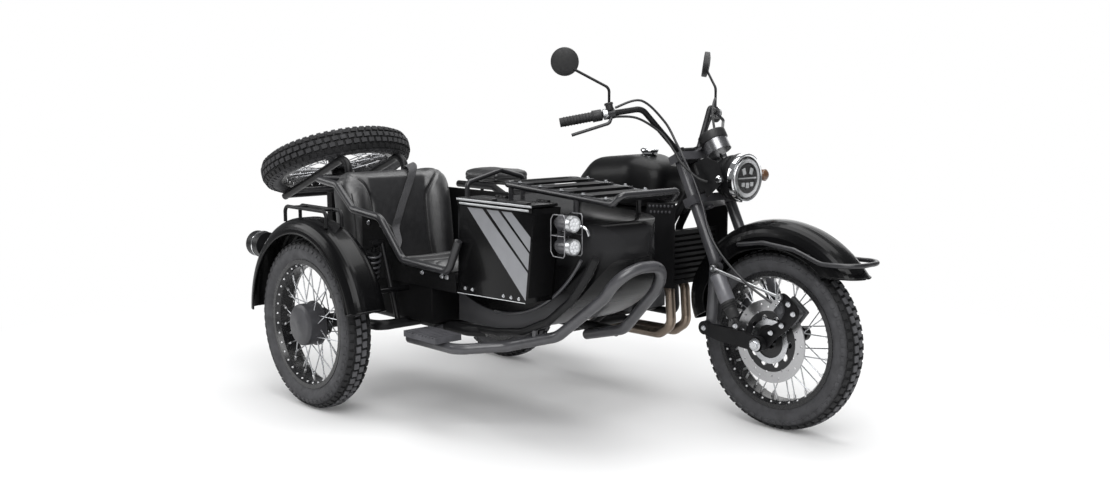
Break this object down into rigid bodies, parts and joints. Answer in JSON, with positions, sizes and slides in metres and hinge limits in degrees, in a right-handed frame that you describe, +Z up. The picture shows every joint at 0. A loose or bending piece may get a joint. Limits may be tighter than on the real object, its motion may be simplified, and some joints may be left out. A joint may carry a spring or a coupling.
{
  "type": "sidecar motorcycle",
  "caption": "Black sidecar motorcycle with wire wheels, leading-link fork, high bars, striped side box, luggage rack, crash bar and a spare wheel behind the passenger seat.",
  "frame": {"origin": "on the ground, under the middle of the bounding box", "axes": "+X forward, +Y to the rider's left, +Z up; the sidecar is on the right-hand side, at negative Y"},
  "size_m": [2.6353, 1.6208, 1.3717],
  "materials": {
    "matt_plastic": "fine grain",
    "satin_black": "satin powder coat",
    "gloss_black": "gloss enamel",
    "engine_grey": "dark painted casting",
    "exhaust_steel": "heat tinted",
    "chrome": "polished",
    "black_leather": "grained",
    "red_lens": "clear red",
    "trim_alloy": "satin",
    "tread_rubber": "matt moulded",
    "tyre_rubber": "matt with tread",
    "spoke_steel": "plated spokes and black rim",
    "lever_alloy": "satin",
    "disc_steel": "ground",
    "amber_lens": "clear amber"
  },
  "bodies": {
    "chassis": {"main_frame": "satin_black", "engine": "engine_grey", "air_box": "matt_plastic", "radiator": "satin_black", "exhaust": "exhaust_steel", "fuel_tank": "gloss_black", "tank_cap": "chrome", "rider_saddle": "black_leather", "pillion_pad": "black_leather", "rear_fender": "gloss_black", "tail_lamps": "red_lens", "swingarm": "satin_black", "shocks": "satin_black", "sidecar_frame": "satin_black", "tub_nose": "gloss_black", "seat_tub": "gloss_black", "side_box": "gloss_black", "luggage_rack": "satin_black", "crash_bar": "satin_black", "spot_lamps": "satin_black", "seat_cushion": "black_leather", "seat_back": "black_leather", "seat_rail": "satin_black", "sidecar_fender": "gloss_black", "fender_rack": "satin_black", "footstep": "tread_rubber", "spare_carrier": "satin_black", "spare_tyre": "tyre_rubber", "spare_rim": "spoke_steel"},
    "steering": {"fork": "satin_black", "leading_links": "satin_black", "front_shocks": "tread_rubber", "front_fender": "gloss_black", "fender_guard": "satin_black", "headlamp": "satin_black", "gauge": "satin_black", "handlebar": "satin_black", "grips": "tread_rubber", "levers": "lever_alloy", "mirrors": "satin_black", "calliper": "satin_black", "turn_lamp": "amber_lens"},
    "front_wheel": {"front_tyre": "tyre_rubber", "front_rim": "spoke_steel", "front_disc": "disc_steel"},
    "rear_wheel": {"rear_tyre": "tyre_rubber", "rear_rim": "spoke_steel"},
    "sidecar_wheel": {"sidecar_tyre": "tyre_rubber", "sidecar_rim": "spoke_steel"},
    "box_lid": {"box_lid": "trim_alloy"}
  },
  "joints": [
    {"name": "steering_turn", "type": "hinge", "parent": "chassis", "child": "steering", "pos_m": [0.52237, 0.35459, 0.949], "axis": [-0.4384, 0, 0.8988], "range_deg": [-35, 35]},
    {"name": "front_wheel_spin", "type": "hinge", "parent": "steering", "child": "front_wheel", "pos_m": [0.95237, 0.35459, 0.328], "axis": [0, 1, 0], "continuous": true},
    {"name": "rear_wheel_spin", "type": "hinge", "parent": "chassis", "child": "rear_wheel", "pos_m": [-0.60763, 0.35459, 0.328], "axis": [0, 1, 0], "continuous": true},
    {"name": "sidecar_wheel_spin", "type": "hinge", "parent": "chassis", "child": "sidecar_wheel", "pos_m": [-0.42763, -0.73541, 0.328], "axis": [0, 1, 0], "continuous": true},
    {"name": "box_lid_swing", "type": "hinge", "parent": "chassis", "child": "box_lid", "pos_m": [0.40737, -0.40671, 0.844], "axis": [-1, 0, 0], "range_deg": [0, 95]}
  ]
}
